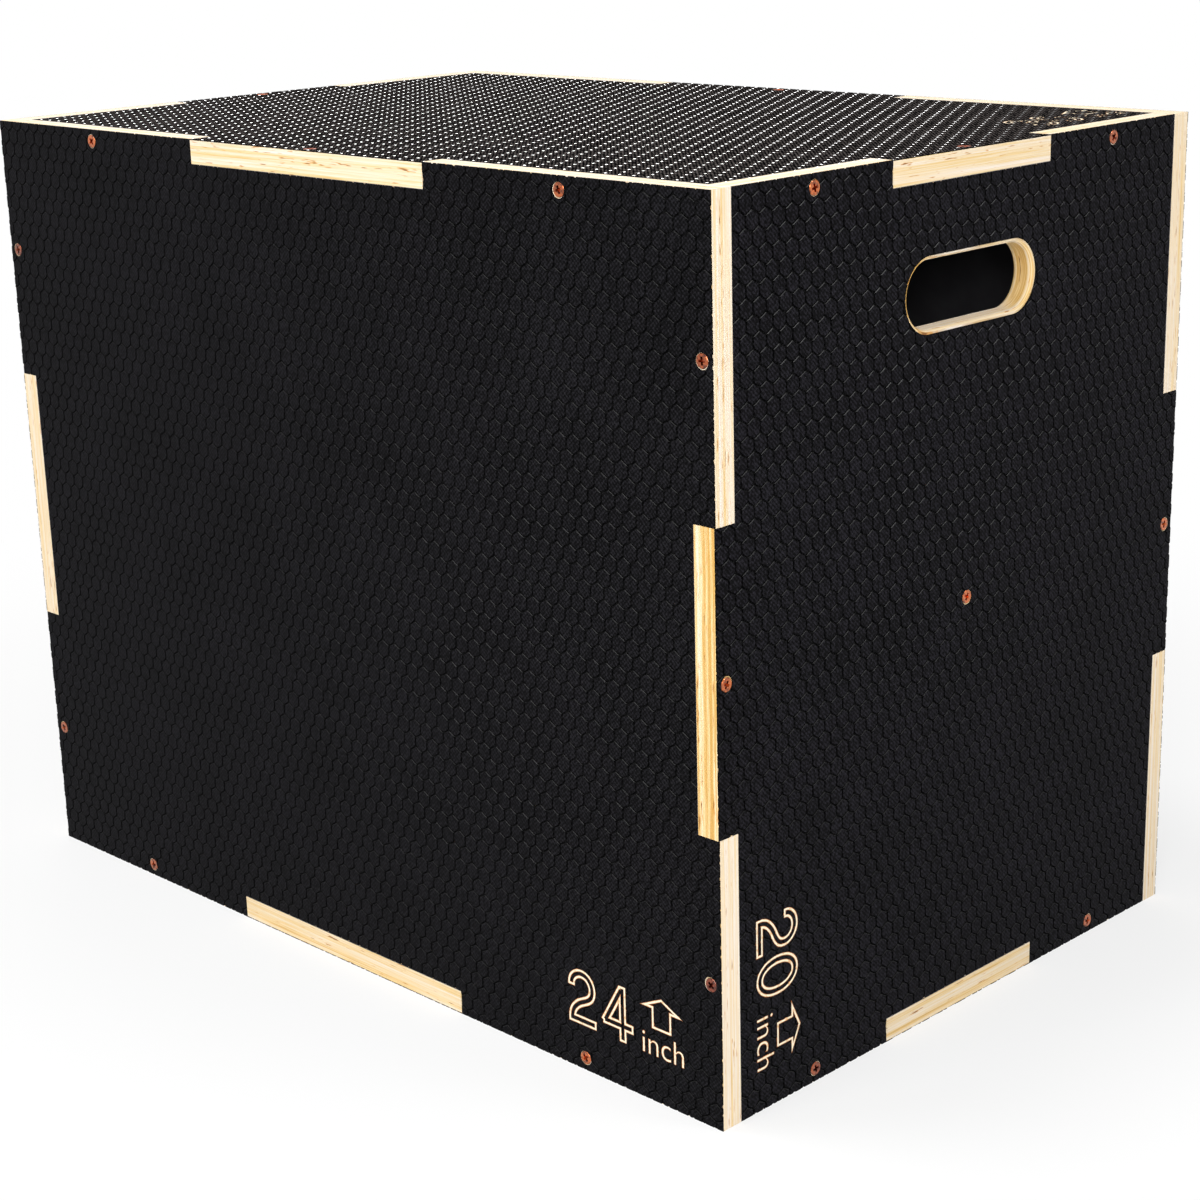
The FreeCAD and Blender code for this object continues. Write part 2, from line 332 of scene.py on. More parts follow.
def pick(piece):
    bpy.ops.object.select_all(action="DESELECT")
    piece.select_set(True)
    bpy.context.view_layer.objects.active = piece


def settle(piece):
    """Writes the piece's place into its mesh."""
    pick(piece)
    bpy.ops.object.transform_apply(location=True, rotation=True, scale=True)


def lay_on(piece, face):
    """Moves a piece drawn flat, with the plywood's surface at height 0, on to that face of the box."""
    across, up, out = faces[face]
    seat = box_centre + out * (reach(out) - film_depth)
    piece.matrix_world = Matrix.Translation(seat) @ Matrix((across, up, out)).transposed().to_4x4()
    settle(piece)


def applied(piece, kind, **settings):
    pick(piece)
    change = piece.modifiers.new(kind.lower(), kind)
    for name, value in settings.items():
        setattr(change, name, value)
    bpy.ops.object.modifier_apply(modifier=change.name)


def carve(piece, tool, operation):
    applied(piece, "BOOLEAN", operation=operation, solver="MANIFOLD", object=tool)
    bpy.data.objects.remove(tool)


def merged_copy(cad_node, name):
    twin = bpy.data.objects.new(name, nodes[cad_node].data.copy())
    bpy.context.scene.collection.objects.link(twin)
    pick(twin)
    bpy.ops.object.mode_set(mode="EDIT")
    bpy.ops.mesh.select_all(action="SELECT")
    bpy.ops.mesh.remove_doubles(threshold=weld)
    bpy.ops.object.mode_set(mode="OBJECT")
    return twin


def ring(radius, seat):
    """A filled hexagon, added to the mesh that is being edited, and left selected."""
    bpy.ops.mesh.select_all(action="DESELECT")
    bpy.ops.mesh.primitive_circle_add(vertices=6, radius=radius, fill_type="NGON", location=seat)


def bridged(cell, seat, inner, outer):
    """Joins the two rings of edges that lie between those distances from the cell's middle."""
    bpy.ops.mesh.select_all(action="DESELECT")
    bpy.ops.object.mode_set(mode="OBJECT")
    points = cell.data.vertices
    for edge in cell.data.edges:
        edge.select = all(inner < (points[i].co - seat).xy.length < outer for i in edge.vertices)
    bpy.ops.object.mode_set(mode="EDIT")
    bpy.ops.mesh.bridge_edge_loops()


def film_cell(name, seat, trodden):
    """A raised hexagon with blunt corners, its share of the groove round it, and a crest if trodden."""
    bpy.ops.object.select_all(action="DESELECT")
    bpy.ops.mesh.primitive_circle_add(vertices=6, radius=hexagon_radius, fill_type="NGON", location=seat)
    cell = bpy.context.object
    cell.name = name
    settle(cell)
    bpy.ops.object.mode_set(mode="EDIT")
    bpy.ops.mesh.select_mode(type="EDGE")
    bpy.ops.mesh.select_all(action="SELECT")
    bpy.ops.mesh.inset(thickness=groove_run, depth=0)
    bpy.ops.mesh.delete(type="ONLY_FACE")
    top_radius = (hexagon_pitch / 2 - groove_run - wall_run) * 2 / math.sqrt(3)
    ring(top_radius, seat + Vector((0, 0, wall_rise)))
    bpy.ops.mesh.bevel(affect="VERTICES", offset=corner_cut, segments=1)
    if trodden:
        bpy.ops.mesh.delete(type="ONLY_FACE")
        ring(crest_radius, seat + Vector((0, 0, wall_rise + crest_rise)))
    bridged(cell, seat, crest_radius + weld, hexagon_radius - weld)
    if trodden:
        bridged(cell, seat, 0, top_radius)
    bpy.ops.mesh.select_all(action="SELECT")
    bpy.ops.mesh.normals_make_consistent(inside=False)
    bpy.ops.object.mode_set(mode="OBJECT")
    return cell


def hexagon_sheet(name, across, up, trodden):
    """A closed sheet of hexagons, larger than the face, flat on the floor and centred there."""
    columns = int(across / hexagon_pitch) + spare_columns
    row_pairs = int(up / hexagon_rise / 2) + spare_row_pairs
    start = Vector((-columns * hexagon_pitch / 2, -row_pairs * hexagon_rise, groove_floor))
    sheet = film_cell(name, start, trodden)
    for count, step in (
        (columns, (hexagon_pitch, 0, 0)),
        (2, (hexagon_pitch / 2, hexagon_rise, 0)),
        (row_pairs, (0, 2 * hexagon_rise, 0)),
    ):
        applied(
            sheet, "ARRAY", count=count, use_relative_offset=False, use_constant_offset=True,
            constant_offset_displace=step,
        )
    bpy.ops.object.mode_set(mode="EDIT")
    bpy.ops.mesh.select_mode(type="EDGE")
    bpy.ops.mesh.select_all(action="SELECT")
    bpy.ops.mesh.remove_doubles(threshold=weld)
    bpy.ops.mesh.select_non_manifold(extend=False, use_wire=False, use_multi_face=False,
                                     use_non_contiguous=False, use_verts=False)
    bpy.ops.mesh.extrude_edges_move(
        TRANSFORM_OT_translate={"value": (0, 0, -groove_floor - trim_under)}
    )
    bpy.ops.mesh.edge_face_add()
    bpy.ops.mesh.select_all(action="SELECT")
    bpy.ops.mesh.normals_make_consistent(inside=False)
    bpy.ops.mesh.select_mode(type="VERT")
    bpy.ops.object.mode_set(mode="OBJECT")
    return sheet


def anti_slip_film(name, tones, rough, weave, gloss):
    """A film with the weave of its paper in it, that deep. The tones are those of its hollows and of
    what stands out and wears; on the end faces the worn tone is also painted light, and on the top and
    bottom, whose cells have no gloss, it is painted sheen as well as wear."""
    hollow, worn = tones
    material, tree, shader = finish_of(name)
    place = node(tree, "TexCoord").outputs["Object"]
    mottle = noise(tree, place, scale=18.0, detail=6.0)
    relief = noise(tree, place, scale=560.0)
    for mirror in ((1, 1, 1), (1, 1, -1), (1, -1, 1)):
        thread = node(tree, "TexWave", wave_type="BANDS", bands_direction="DIAGONAL")
        feed(tree, thread.inputs["Vector"], stretched(tree, place, mirror))
        thread.inputs["Scale"].default_value = 200.0
        thread.inputs["Distortion"].default_value = 1.5
        thread.inputs["Detail Scale"].default_value = 2.0
        relief = calc(tree, "ADD", relief, calc(tree, "MULTIPLY", thread.outputs["Fac"], thread_share))
    wear = calc(tree, "MULTIPLY", relief, relief_wear)
    wear = calc(tree, "ADD", wear, calc(tree, "MULTIPLY", mottle, mottle_wear))
    feed(tree, shader.inputs["Base Color"], ramp(tree, wear, [(0.66, hollow), (0.96, worn)]))
    feed(tree, shader.inputs["Roughness"], grade(tree, mottle, 0.3, 0.8, *rough))
    shader.inputs["Specular IOR Level"].default_value = gloss
    feed(tree, shader.inputs["Normal"], bumped(tree, relief, weave))
    return material


def slot_plug(name):
    """A plug of the hand slot's outline, larger all round by the bare rim."""
    bpy.ops.object.select_all(action="DESELECT")
    bpy.ops.mesh.primitive_cylinder_add(
        vertices=slot_sides, radius=slot_height / 2 + slot_bare, depth=tool_depth, location=(0, 0, 0)
    )
    plug = bpy.context.object
    plug.name = name
    for point in plug.data.vertices:
        point.co.x += math.copysign((slot_length - slot_height) / 2, point.co.x)
    plug.location = (0, box_half.z - slot_drop, 0)
    settle(plug)
    return plug


# The walls and grooves take the dark groove tones, painted shade in the grooves.
long_film = (
    anti_slip_film("long_film_cells", (film_black, film_black_worn), cell_rough, cell_weave, gloss=0.03),
    anti_slip_film("long_film_walls", groove_tones, wall_rough, plain_weave, gloss=0.12),
    anti_slip_film("long_film_grooves", groove_tones, groove_rough, plain_weave, gloss=0.015),
)
# The end faces get a lighter, bluer copy of the same film: painted light.
end_film = (
    anti_slip_film("end_film_cells", (film_black, end_film_worn_and_painted_light), cell_rough, cell_weave, gloss=0.03),
    anti_slip_film("end_film_walls", groove_tones, wall_rough, plain_weave, gloss=0.16),
    anti_slip_film("end_film_grooves", groove_tones, groove_rough, plain_weave, gloss=0.01),
)
# The top's cells have no gloss; their light worn tone is painted sheen as well as wear.
trodden_film = (
    anti_slip_film("trodden_film_cells_with_painted_sheen", (film_black, tread_worn_and_painted_sheen), tread_rough, tread_weave, gloss=0.0),
    anti_slip_film("trodden_film_crests", groove_tones, crest_rough, plain_weave, gloss=0.5),
    anti_slip_film("trodden_film_grooves", groove_tones, groove_rough, plain_weave, gloss=0.0),
)
film_finish = {
    "front": long_film, "back": long_film, "right": end_film, "left": end_film,
    "top": trodden_film, "bottom": trodden_film,
}
dress(nodes["brace_front_film"], long_film[0])
films = {}
for face, (across, up, out) in faces.items():
    trodden = film_finish[face] is trodden_film
    film = hexagon_sheet(face + "_hexagon_film", 2 * reach(across), 2 * reach(up), trodden)
    lay_on(film, face)
    carve(film, merged_copy(face + "_outer_film", face + "_film_outline"), "INTERSECT")
    films[face] = film
for face in ("right", "left"):
    plug = slot_plug(face + "_slot_plug")
    lay_on(plug, face)
    carve(films[face], plug, "DIFFERENCE")


def straight_edges(face):
    """The long straight edges of a film's upper side, as pairs of points flat on the floor."""
    across, up, out = faces[face]
    outline = nodes[face + "_outer_film"].data
    flat = [(point.co - box_centre) for point in outline.vertices]
    top = reach(out) - weld
    for polygon in outline.polygons:
        if abs(polygon.normal.dot(out)) > facing:
            continue
        high = [flat[i] for i in polygon.vertices if flat[i].dot(out) > top]
        if len(high) == 2 and (high[0] - high[1]).length > 2 * nick_spacing:
            yield [Vector((point.dot(across), point.dot(up), 0)) for point in high]


nicks = random.Random(nick_seed)
for face in faces:
    bpy.ops.object.select_all(action="DESELECT")
    chips = None
    for start, end in straight_edges(face):
        run = end - start
        for i in range(1, int(run.length / nick_spacing)):
            along = (i + nicks.uniform(-nick_stray, nick_stray)) * nick_spacing
            bpy.ops.mesh.primitive_cylinder_add(
                vertices=nick_sides, radius=nicks.uniform(*nick_radius), depth=tool_depth,
                location=start + run.normalized() * along, rotation=(0, 0, math.atan2(run.y, run.x)),
                scale=(nicks.uniform(*nick_stretch), 1, 1),
            )
            if chips is None:
                chips = bpy.context.object
                settle(chips)
                bpy.ops.object.mode_set(mode="EDIT")
    bpy.ops.object.mode_set(mode="OBJECT")
    chips.name = face + "_nicks"
    lay_on(chips, face)
    carve(films[face], chips, "DIFFERENCE")

# The screws: copper-plated wood screws with a countersunk head and a cross recess, driven flush
# with the film and scuffed where feet tread. The countersink breaks the film a little wider than the
# head, on one side more.
screw_seed = 7
head_sides = 40
head_radius = 4.8 * mm
head_sink = 0.2 * mm
head_chamfer = 0.25 * mm
head_rim = 0.6 * mm
head_height = 3.2 * mm
shank_radius = 2.25 * mm
screw_length = 45 * mm
tip_length = 6 * mm
tip_radius = 0.4 * mm
recess_span = 7.0 * mm
recess_width = 2.2 * mm
recess_depth = 2.2 * mm
recess_taper = 0.55
screw_edge = 9 * mm
break_sides = 28
break_radius = 5.3 * mm
break_shift = (0.1 * mm, 0.5 * mm)
tarnish_and_dark_reflection_strength = 0.85
lacquer_rough = 0.12
plating_relief = 0.03 * mm
# The plain copper is set dark, and the tarnish darker, partly as painted dark reflection in the heads.
copper = (0.26, 0.050, 0.018)
copper_bright = (0.62, 0.15, 0.034)
copper_tarnish_and_dark_reflection = (0.05, 0.010, 0.006)

finger_length = 2 * box_half.x / 3
finger_width = 2 * box_half.y / 3
finger_height = 2 * box_half.z / 3
screw_rows = {
    "front": [(finger_length, box_half.z - screw_edge), (box_half.x - screw_edge, finger_height)],
    "right": [(finger_width - screw_edge, box_half.z - screw_edge), (box_half.y - screw_edge, 0), (0, 0)],
    "top": [(0, box_half.y - screw_edge), (box_half.x - screw_edge, 0)],
}
screw_rows["back"] = screw_rows["front"]
screw_rows["left"] = screw_rows["right"]
screw_rows["bottom"] = screw_rows["top"]


def screw_seats(face):
    """Every screw of a face, from the rows of one quarter of it."""
    seats = {(sx * x, sy * y) for x, y in screw_rows[face] for sx in (-1, 1) for sy in (-1, 1)}
    return sorted({(x + 0.0, y + 0.0) for x, y in seats})


def only_underside(piece):
    """Selects, in edit mode, the faces that look down."""
    bpy.ops.object.mode_set(mode="EDIT")
    bpy.ops.mesh.select_mode(type="FACE")
    bpy.ops.mesh.select_all(action="DESELECT")
    bpy.ops.object.mode_set(mode="OBJECT")
    for polygon in piece.data.polygons:
        polygon.select = polygon.normal.z < -facing
    bpy.ops.object.mode_set(mode="EDIT")


def screw_blank(name):
    """A screw that points down, with its head's top at height 0."""
    bpy.ops.object.select_all(action="DESELECT")
    bpy.ops.mesh.primitive_circle_add(
        vertices=head_sides, radius=head_radius, fill_type="NGON", location=(0, 0, -screw_length)
    )
    screw = bpy.context.object
    screw.name = name
    settle(screw)
    scale = tip_radius / head_radius
    for vertex in screw.data.vertices:
        vertex.co = (vertex.co.x * scale, vertex.co.y * scale, vertex.co.z)
    radius, height = tip_radius, -screw_length
    bpy.ops.object.mode_set(mode="EDIT")
    bpy.ops.mesh.select_mode(type="FACE")
    bpy.ops.mesh.select_all(action="SELECT")
    for next_radius, next_height in (
        (shank_radius, -screw_length + tip_length),
        (shank_radius, -head_height),
        (head_radius, -head_rim),
        (head_radius, -head_chamfer),
        (head_radius - head_chamfer, 0.0),
    ):
        bpy.ops.mesh.extrude_region_move(
            TRANSFORM_OT_translate={"value": (0, 0, next_height - height)}
        )
        factor = next_radius / radius
        bpy.ops.transform.resize(value=(factor, factor, 1), center_override=(0, 0, 0))
        radius, height = next_radius, next_height
    bpy.ops.mesh.select_all(action="SELECT")
    bpy.ops.mesh.normals_make_consistent(inside=False)
    bpy.ops.object.mode_set(mode="OBJECT")
    for turn in (0, math.pi / 2):
        bpy.ops.object.select_all(action="DESELECT")
        bpy.ops.mesh.primitive_cube_add(size=1, location=(0, 0, 0))
        wing = bpy.context.object
        wing.scale = (recess_span, recess_width, 2 * recess_depth)
        wing.rotation_euler.z = turn
        settle(wing)
        only_underside(wing)
        bpy.ops.transform.resize(value=(recess_taper, recess_taper, 1), center_override=(0, 0, 0))
        bpy.ops.object.mode_set(mode="OBJECT")
        carve(screw, wing, "DIFFERENCE")
    return screw


def joined(pieces, name):
    bpy.ops.object.select_all(action="DESELECT")
    for piece in pieces:
        piece.select_set(True)
    bpy.context.view_layer.objects.active = pieces[0]
    bpy.ops.object.join()
    pieces[0].name = name
    return pieces[0]


def copied(piece, name):
    twin = bpy.data.objects.new(name, piece.data.copy())
    bpy.context.scene.collection.objects.link(twin)
    return twin


def copper_plating(name, rough, lacquer):
    """Plating that differs from screw to screw and tarnishes in spots, under so much lacquer. The plain
    copper is set dark and the spots darker: painted dark reflection as well as tarnish.
    """
    material, tree, shader = finish_of(name)
    place = node(tree, "TexCoord").outputs["Object"]
    lot = noise(tree, place, scale=9.0, detail=0.0)
    tarnish_and_dark_reflection_spots = noise(tree, place, scale=420.0, detail=4.0)
    colour = ramp(tree, lot, [(0.36, copper), (0.62, copper_bright)])
    tarnished_and_darkened = grade(tree, tarnish_and_dark_reflection_spots, 0.46, 0.66, 0, tarnish_and_dark_reflection_strength)
    colour = tinted(tree, tarnished_and_darkened, colour, (*copper_tarnish_and_dark_reflection, 1))
    feed(tree, shader.inputs["Base Color"], colour)
    shader.inputs["Metallic"].default_value = 1.0
    shader.inputs["Coat Weight"].default_value = lacquer
    shader.inputs["Coat Roughness"].default_value = lacquer_rough
    feed(tree, shader.inputs["Roughness"], grade(tree, tarnish_and_dark_reflection_spots, 0.35, 0.75, *rough))
    pores = noise(tree, place, scale=2500.0)
    feed(tree, shader.inputs["Normal"], bumped(tree, pores, plating_relief, strength=0.5))
    return material


side_plating = copper_plating("copper_plating", rough=(0.16, 0.38), lacquer=0.7)
trodden_plating = copper_plating("scuffed_copper_plating", rough=(0.55, 0.75), lacquer=0.0)
draw = random.Random(screw_seed)
blank = screw_blank("screw_blank")
for face in faces:
    screws, breaks = [], []
    for x, y in screw_seats(face):
        screw = copied(blank, face + "_screw")
        screw.location = (x, y, film_depth - head_sink)
        screw.rotation_euler.z = draw.uniform(0, math.pi / 2)
        settle(screw)
        screws.append(screw)
        bearing = draw.uniform(0, 2 * math.pi)
        shift = draw.uniform(*break_shift)
        bpy.ops.object.select_all(action="DESELECT")
        bpy.ops.mesh.primitive_cylinder_add(
            vertices=break_sides, radius=break_radius, depth=tool_depth,
            location=(x + shift * math.cos(bearing), y + shift * math.sin(bearing), 0),
        )
        breaks.append(bpy.context.object)
        settle(breaks[-1])
    screws = joined(screws, face + "_wood_screws")
    lay_on(screws, face)
    dress(screws, trodden_plating if film_finish[face] is trodden_film else side_plating)
    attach(screws, "root")
    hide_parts(face + "_screws")
    breaks = joined(breaks, face + "_breaks")
    lay_on(breaks, face)
    carve(films[face], breaks, "DIFFERENCE")
bpy.data.objects.remove(blank)

# The size marks: outlined numerals, an arrow and the unit, burnt through the film at a corner of three
# faces, so that the pale veneer under it shows, with a scorched edge along each line.
mark_line = 2.1
mark_body = 6.8
mark_floor = 0.46 * mm
mark_stretch = 2
slab_reach = 1.0
letter_weld = weld / 10
scorch_line = 0.36
scorch_floor = 0.43 * mm
arrow_half = 15.3
arrow_neck = 8.0
arrow_foot = 1.0
arrow_shoulder = 15.5
arrow_tip = 22.8
arrow_seat = Vector((88 * mm, 20 * mm, 0))
unit_seat = Vector((70 * mm, 0, 0))
unit_width = 38 * mm
unit_height = 17 * mm
unit_thinning = 0.75
scorched_dark = (0.42, 0.11, 0.025)
scorched = (0.80, 0.32, 0.09)
singed = (0.80, 0.52, 0.25)
engraved = (0.96, 0.85, 0.63)
veneer_relief = 0.08 * mm


def stroke(name, points, width, closed=False, steps=10):
    """A wall of even width along a bezier line, in millimetres: each point has its two handles."""
    line = bpy.data.curves.new(name, "CURVE")
    line.dimensions = "2D"
    line.fill_mode = "NONE"
    line.extrude = film_depth
    line.resolution_u = steps
    run = line.splines.new("BEZIER")
    run.bezier_points.add(len(points) - 1)
    for bezier, (x, y, before, after) in zip(run.bezier_points, points):
        bezier.co = (x * mm, y * mm, 0)
        bezier.handle_left = bezier.co + Vector((before[0] * mm, before[1] * mm, 0))
        bezier.handle_right = bezier.co + Vector((after[0] * mm, after[1] * mm, 0))
        bezier.handle_left_type = "FREE" if any(before) else "VECTOR"
        bezier.handle_right_type = "FREE" if any(after) else "VECTOR"
    run.use_cyclic_u = closed
    wall = bpy.data.objects.new(name, line)
    bpy.context.scene.collection.objects.link(wall)
    pick(wall)
    bpy.ops.object.convert(target="MESH")
    wall = bpy.context.object
    bpy.ops.object.mode_set(mode="EDIT")
    bpy.ops.mesh.select_all(action="SELECT")
    bpy.ops.mesh.remove_doubles(threshold=weld)
    bpy.ops.object.mode_set(mode="OBJECT")
    applied(wall, "SOLIDIFY", thickness=width * mm, offset=0, use_even_offset=True)
    return wall


def run_on(points, length):
    """The same line, carried on straight by that length at both ends."""
    (x, y, _, ahead), (end_x, end_y, behind, _) = points[0], points[-1]
    start = Vector((x, y)) - Vector(ahead).normalized() * length
    end = Vector((end_x, end_y)) - Vector(behind).normalized() * length
    still = (0, 0)
    return [(*start, still, still), *points, (*end, still, still)]


def outlined(name, trim, *lines, closed=False):
    """The line round a numeral: its strokes at full width, less the same strokes made narrower. The
    trim is what the line loses on both sides."""
    bodies = []
    for width, longer in (
        (mark_body - 2 * trim, mark_line - trim),
        (mark_body - 2 * mark_line + 2 * trim, trim),
    ):
        strokes = [
            stroke(name, points if closed else run_on(points, longer), width, closed) for points in lines
        ]
        for extra in strokes[1:]:
            carve(strokes[0], extra, "UNION")
        bodies.append(strokes[0])
    outer, inner = bodies
    inner.scale.z = mark_stretch
    settle(inner)
    carve(outer, inner, "DIFFERENCE")
    return outer


def numeral_two(trim):
    neck = [
        (3.4, 29.5, (0, 0), (0, 4.5)),
        (13.3, 38.1, (-5.5, 0), (5.5, 0)),
        (23.2, 28.0, (0, 5.5), (0, -9)),
        (9.0, 14.5, (5, 4.5), (-3.5, -3)),
        (3.4, 3.4, (0, 5), (0, 0)),
    ]
    base = [(2.1, 3.4, (0, 0), (5, 0)), (24.7, 3.4, (-5, 0), (0, 0))]
    return outlined("two", trim, neck, base)


def numeral_zero(trim):
    return outlined("zero", trim, [
        (14.0, 3.4, (-6.5, 0), (6.5, 0)),
        (24.8, 20.75, (0, -10), (0, 10)),
        (14.0, 38.1, (6.5, 0), (-6.5, 0)),
        (3.2, 20.75, (0, 10), (0, -10)),
    ], closed=True)


def numeral_three(trim):
    upper = [
        (3.6, 31.5, (0, 0), (0.8, 4)),
        (13.3, 38.1, (-5.5, 0), (5.5, 0)),
        (22.2, 29.8, (0, 5), (0, -5)),
        (13.6, 21.4, (5, 0), (-1, 0)),
        (11.0, 21.4, (1, 0), (0, 0)),
    ]
    lower = [
        (11.0, 21.4, (0, 0), (1, 0)),
        (13.6, 21.4, (-1, 0), (5.5, 0)),
        (23.2, 12.4, (0, 5), (0, -5)),
        (13.3, 3.4, (5.5, 0), (-5.5, 0)),
        (3.6, 10.0, (0.8, -4), (0, 0)),
    ]
    return outlined("three", trim, upper, lower)


def numeral_four(trim):
    stem = [(20.8, 39.4, (0, 0), (0, -5)), (20.8, 2.1, (0, 5), (0, 0))]
    bar = [(4.2, 12.1, (0, 0), (5, 0)), (28.9, 12.1, (-5, 0), (0, 0))]
    slant = [(19.5, 38.0, (0, 0), (-2.5, -4.32)), (4.5, 12.1, (2.5, 4.32), (0, 0))]
    return outlined("four", trim, stem, bar, slant)


def arrow(trim):
    right = [
        (arrow_neck, arrow_foot), (arrow_neck, arrow_shoulder),
        (arrow_half, arrow_shoulder), (0, arrow_tip),
    ]
    corners = right + [(-x, y) for x, y in right[-2::-1]]
    bends = [(*corner, (0, 0), (0, 0)) for corner in corners]
    return stroke("arrow", bends, mark_line - 2 * trim, closed=True, steps=1)


def unit_word(trim):
    bpy.ops.object.select_all(action="DESELECT")
    bpy.ops.object.text_add()
    word = bpy.context.object
    word.data.body = "inch"
    word.data.size = unit_height
    word.data.extrude = film_depth
    word.data.offset = -unit_thinning * trim * mm
    bpy.ops.object.convert(target="MESH")
    word = bpy.context.object
    bpy.ops.object.mode_set(mode="EDIT")
    bpy.ops.mesh.select_all(action="SELECT")
    bpy.ops.mesh.remove_doubles(threshold=letter_weld)
    bpy.ops.mesh.normals_make_consistent(inside=False)
    bpy.ops.object.mode_set(mode="OBJECT")
    low = Vector([min(v.co[i] for v in word.data.vertices) for i in range(3)])
    high = Vector([max(v.co[i] for v in word.data.vertices) for i in range(3)])
    lost = trim * mm
    word.scale = (
        (unit_width - 2 * lost) / (high.x - low.x), (unit_height - 2 * lost) / (high.y - low.y), 1
    )
    word.location = (lost - low.x * word.scale.x, lost - low.y * word.scale.y, 0)
    settle(word)
    return word


def placed(piece, seat):
    piece.location = seat
    settle(piece)
    return piece


def burnt_veneer(name, scale, tones, rough):
    """Bare veneer with burnt spots of about that scale."""
    material, tree, shader = finish_of(name)
    place = node(tree, "TexCoord").outputs["Object"]
    burn = noise(tree, place, scale=scale, detail=4.0)
    feed(tree, shader.inputs["Base Color"], ramp(tree, burn, tones))
    feed(tree, shader.inputs["Roughness"], grade(tree, burn, 0.3, 0.7, *rough))
    fibres = noise(tree, place, scale=1500.0)
    feed(tree, shader.inputs["Normal"], bumped(tree, fibres, veneer_relief, strength=0.6))
    return material


def size_mark(face, numerals, step, seat, turn, trim, height, finish):
    """All signs of a face's mark as one low relief on its plywood, and a copy as deep as the film."""
    first, second = (numeral(trim) for numeral in numerals)
    placed(second, (step * mm, 0, 0))
    signs = [first, second, placed(arrow(trim), arrow_seat), placed(unit_word(trim), unit_seat)]
    mark = joined(signs, face + "_size_mark")
    mark.rotation_euler.z = turn
    mark.location = (seat[0] * mm, seat[1] * mm, 0)
    settle(mark)
    lay_on(mark, face)
    tool = copied(mark, face + "_mark_tool")
    bpy.ops.object.select_all(action="DESELECT")
    low = Vector((-slab_reach, -slab_reach, 0))
    high = Vector((slab_reach, slab_reach, height))
    bpy.ops.mesh.primitive_cube_add(size=1, location=(low + high) / 2)
    slab = bpy.context.object
    slab.scale = high - low
    settle(slab)
    lay_on(slab, face)
    carve(mark, slab, "INTERSECT")
    dress(mark, finish)
    return mark, tool


mark_finish = burnt_veneer(
    "engraved_veneer", scale=260.0, tones=[(0.32, singed), (0.44, engraved)], rough=(0.85, 0.65)
)
scorch_finish = burnt_veneer(
    "scorched_edge", scale=320.0, tones=[(0.35, scorched_dark), (0.65, scorched)], rough=(0.85, 0.7)
)
marks = {
    "front": ((numeral_two, numeral_four), 31, (239, -271.7), 0),
    "right": ((numeral_two, numeral_zero), 30.5, (-220, -167.7), -math.pi / 2),
    "top": ((numeral_three, numeral_zero), 29.5, (347, 126), math.pi / 2),
}
for face, signs in marks.items():
    scorch, tool = size_mark(face, *signs, 0, scorch_floor, scorch_finish)
    carve(films[face], tool, "DIFFERENCE")
    veneer, tool = size_mark(face, *signs, scorch_line, mark_floor, mark_finish)
    bpy.data.objects.remove(tool)
    mark = joined([veneer, scorch], face + "_size_mark")
    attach(mark, "root")

# The outer films once more, now that every hole and mark is cut in them. Each part of the pressed
# pattern has its own finish: the hexagons, what catches the lamps (the crests, or the upper walls of
# the hexagons on the four sides), and the grooves.
crest_share = 0.9
lit_tilt = 0.3
on_cells, on_lit, on_grooves = range(3)
for face, (across, up, out) in faces.items():
    film = films[face]
    dress(film, *film_finish[face])
    wall_foot = reach(out) - film_depth + groove_floor
    for polygon in film.data.polygons:
        tilt = polygon.normal.dot(out)
        height = (polygon.center - box_centre).dot(out) - wall_foot
        lit = tilt > lit_tilt and polygon.normal.dot(up) > lit_tilt
        if height > wall_rise + crest_share * crest_rise:
            polygon.material_index = on_lit
        elif height > wall_rise - weld:
            polygon.material_index = on_cells
        elif lit and film_finish[face] is not trodden_film:
            polygon.material_index = on_lit
        else:
            polygon.material_index = on_grooves
    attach(film, "root")
    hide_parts(face + "_outer_film")

# The stage: a plain white floor that keeps a soft shadow near the box, white surroundings, round lamps
# high in front of the two visible sides, above and in front of the corner, a long low one behind, and
# the camera where the photograph was taken from.
floor_size = 14.0
floor_white = (0.86, 0.86, 0.86, 1)
white = (1, 1, 1, 1)
ambient_level = 0.35
shadow_share = 0.3
shadow_near = 0.5
shadow_far = 1.3


def mixed(tree, share, first, second):
    made = node(tree, "MixShader")
    feed(tree, made.inputs["Fac"], share)
    tree.links.new(first.outputs[0], made.inputs[1])
    tree.links.new(second.outputs[0], made.inputs[2])
    return made


def looked_at(tree):
    """1 for what the camera sees, also mirrored or through glass, and 0 for what only gives light."""
    ray = node(tree, "LightPath")
    seen = calc(tree, "MAXIMUM", ray.outputs["Is Camera Ray"], ray.outputs["Is Glossy Ray"])
    return calc(tree, "MAXIMUM", seen, ray.outputs["Is Transmission Ray"])


bpy.ops.object.select_all(action="DESELECT")
bpy.ops.mesh.primitive_plane_add(size=floor_size, location=(0, 0, 0))
floor = bpy.context.object
floor.name = "floor"
paint = bpy.data.materials.new("floor_white")
paint.use_nodes = True
tree = paint.node_tree
tree.nodes.clear()
matte = node(tree, "BsdfDiffuse")
matte.inputs["Color"].default_value = floor_white
glow = node(tree, "Emission")
away = node(tree, "VectorMath", operation="LENGTH")
feed(tree, away.inputs[0], node(tree, "TexCoord").outputs["Object"])
fade = node(tree, "MapRange", interpolation_type="SMOOTHSTEP")
feed(tree, fade.inputs["Value"], away.outputs["Value"])
fade.inputs["From Min"].default_value = shadow_near
fade.inputs["From Max"].default_value = shadow_far
fade.inputs["To Min"].default_value = shadow_share
fade.inputs["To Max"].default_value = 0.0
shaded = mixed(tree, fade.outputs["Result"], glow, matte)
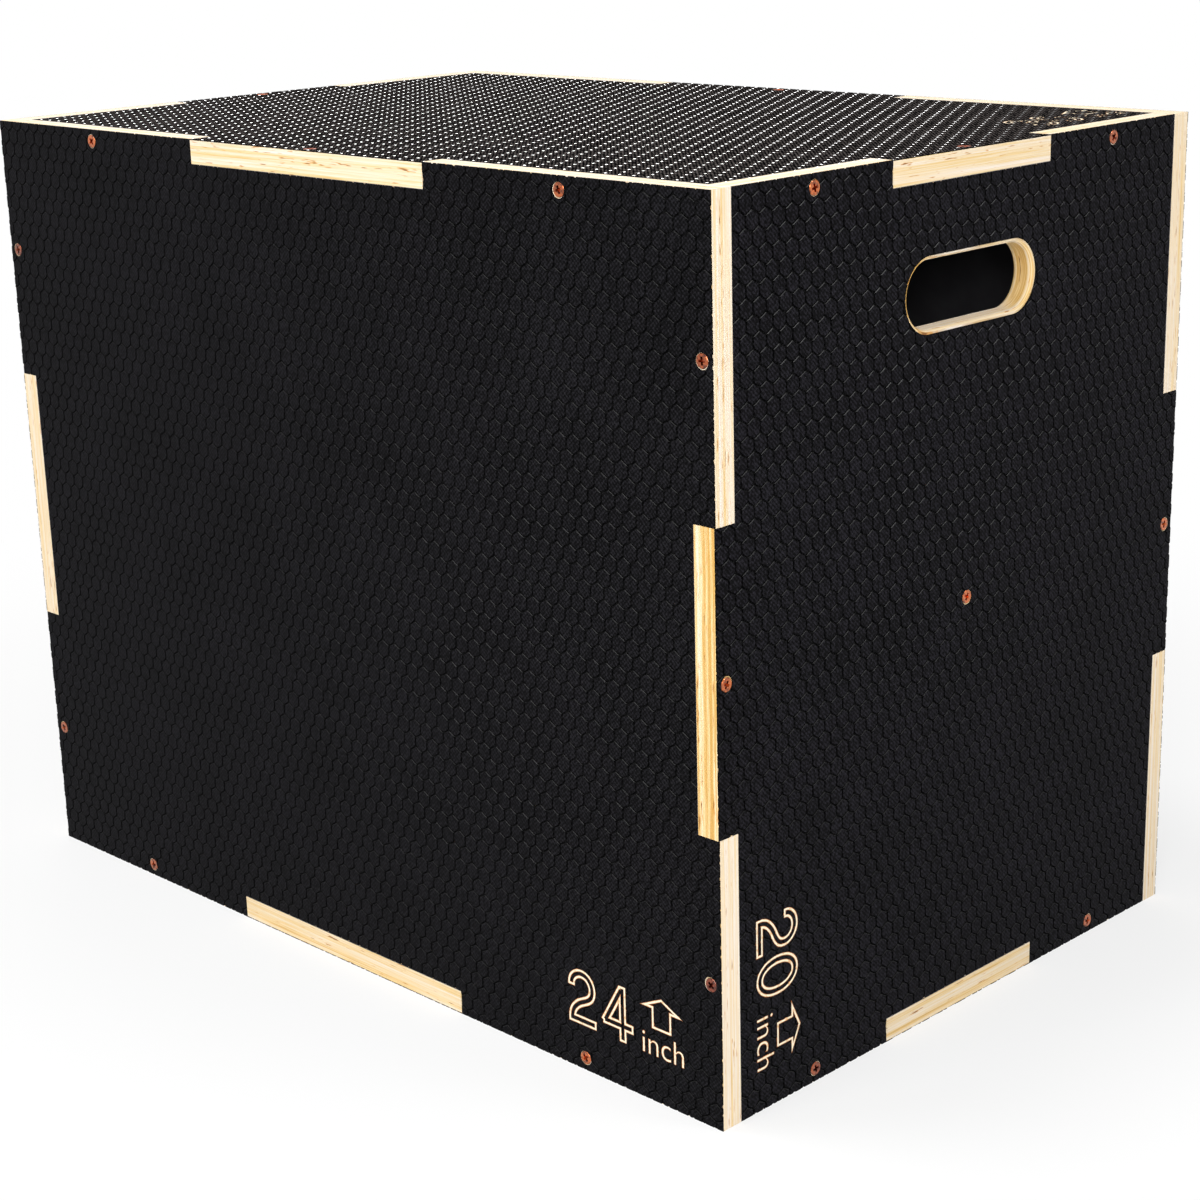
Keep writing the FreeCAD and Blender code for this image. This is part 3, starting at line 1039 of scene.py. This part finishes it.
surface = mixed(tree, looked_at(tree), matte, shaded)
tree.links.new(surface.outputs[0], node(tree, "OutputMaterial").inputs["Surface"])
dress(floor, paint)

world = bpy.data.worlds.new("studio")
bpy.context.scene.world = world
world.use_nodes = True
tree = world.node_tree
tree.nodes.clear()
ambient = node(tree, "Background")
ambient.inputs["Color"].default_value = white
ambient.inputs["Strength"].default_value = ambient_level
backdrop = node(tree, "Background")
backdrop.inputs["Color"].default_value = white
surroundings = mixed(tree, looked_at(tree), ambient, backdrop)
tree.links.new(surroundings.outputs[0], node(tree, "OutputWorld").inputs["Surface"])


def soft_lamp(name, bearing, distance, width, length, watts, along=(0, 0, 1)):
    """A flat lamp that faces the box's middle, its length turned that way."""
    light = bpy.data.lights.new(name, "AREA")
    light.shape = "ELLIPSE"
    light.size = width
    light.size_y = length
    light.energy = watts
    lamp = bpy.data.objects.new(name, light)
    out = Vector(bearing).normalized()
    side = Vector(along).cross(out).normalized()
    turn = Matrix((side, out.cross(side), out)).transposed().to_4x4()
    lamp.matrix_world = Matrix.Translation(box_centre + out * distance) @ turn
    bpy.context.scene.collection.objects.link(lamp)


soft_lamp("lamp_front", (0.03, -0.66, 0.75), distance=3.05, width=0.8, length=0.8, watts=18)
soft_lamp("lamp_right", (0.61, 0.14, 0.78), distance=3.25, width=0.8, length=0.8, watts=18)
soft_lamp("lamp_top", (-0.17, -0.21, 0.96), distance=6.0, width=1.5, length=1.5, watts=130, along=(0, 1, 0))
soft_lamp("lamp_back", (-0.80, 0.58, 0.145), distance=6.0, width=4.6, length=1.0, watts=125)
soft_lamp("lamp_fill", (0.60, -0.68, 0.42), distance=3.2, width=1.6, length=1.6, watts=55)

camera_seat = Vector((1.3404, -1.2983, 0.7932))
camera_aim = Vector((0.0113, 0.0115, 0.2275))
camera_roll = math.radians(-1.608)
lens = bpy.data.cameras.new("camera")
lens.sensor_width = 36.0
lens.lens = 73.1
camera = bpy.data.objects.new("camera", lens)
camera.rotation_mode = "QUATERNION"
camera.location = camera_seat
camera.rotation_quaternion = (
    (camera_aim - camera_seat).to_track_quat("-Z", "Y") @ Quaternion((0, 0, 1), camera_roll)
)
bpy.context.scene.collection.objects.link(camera)
bpy.context.scene.camera = camera
bpy.context.scene.view_settings.view_transform = "Standard"
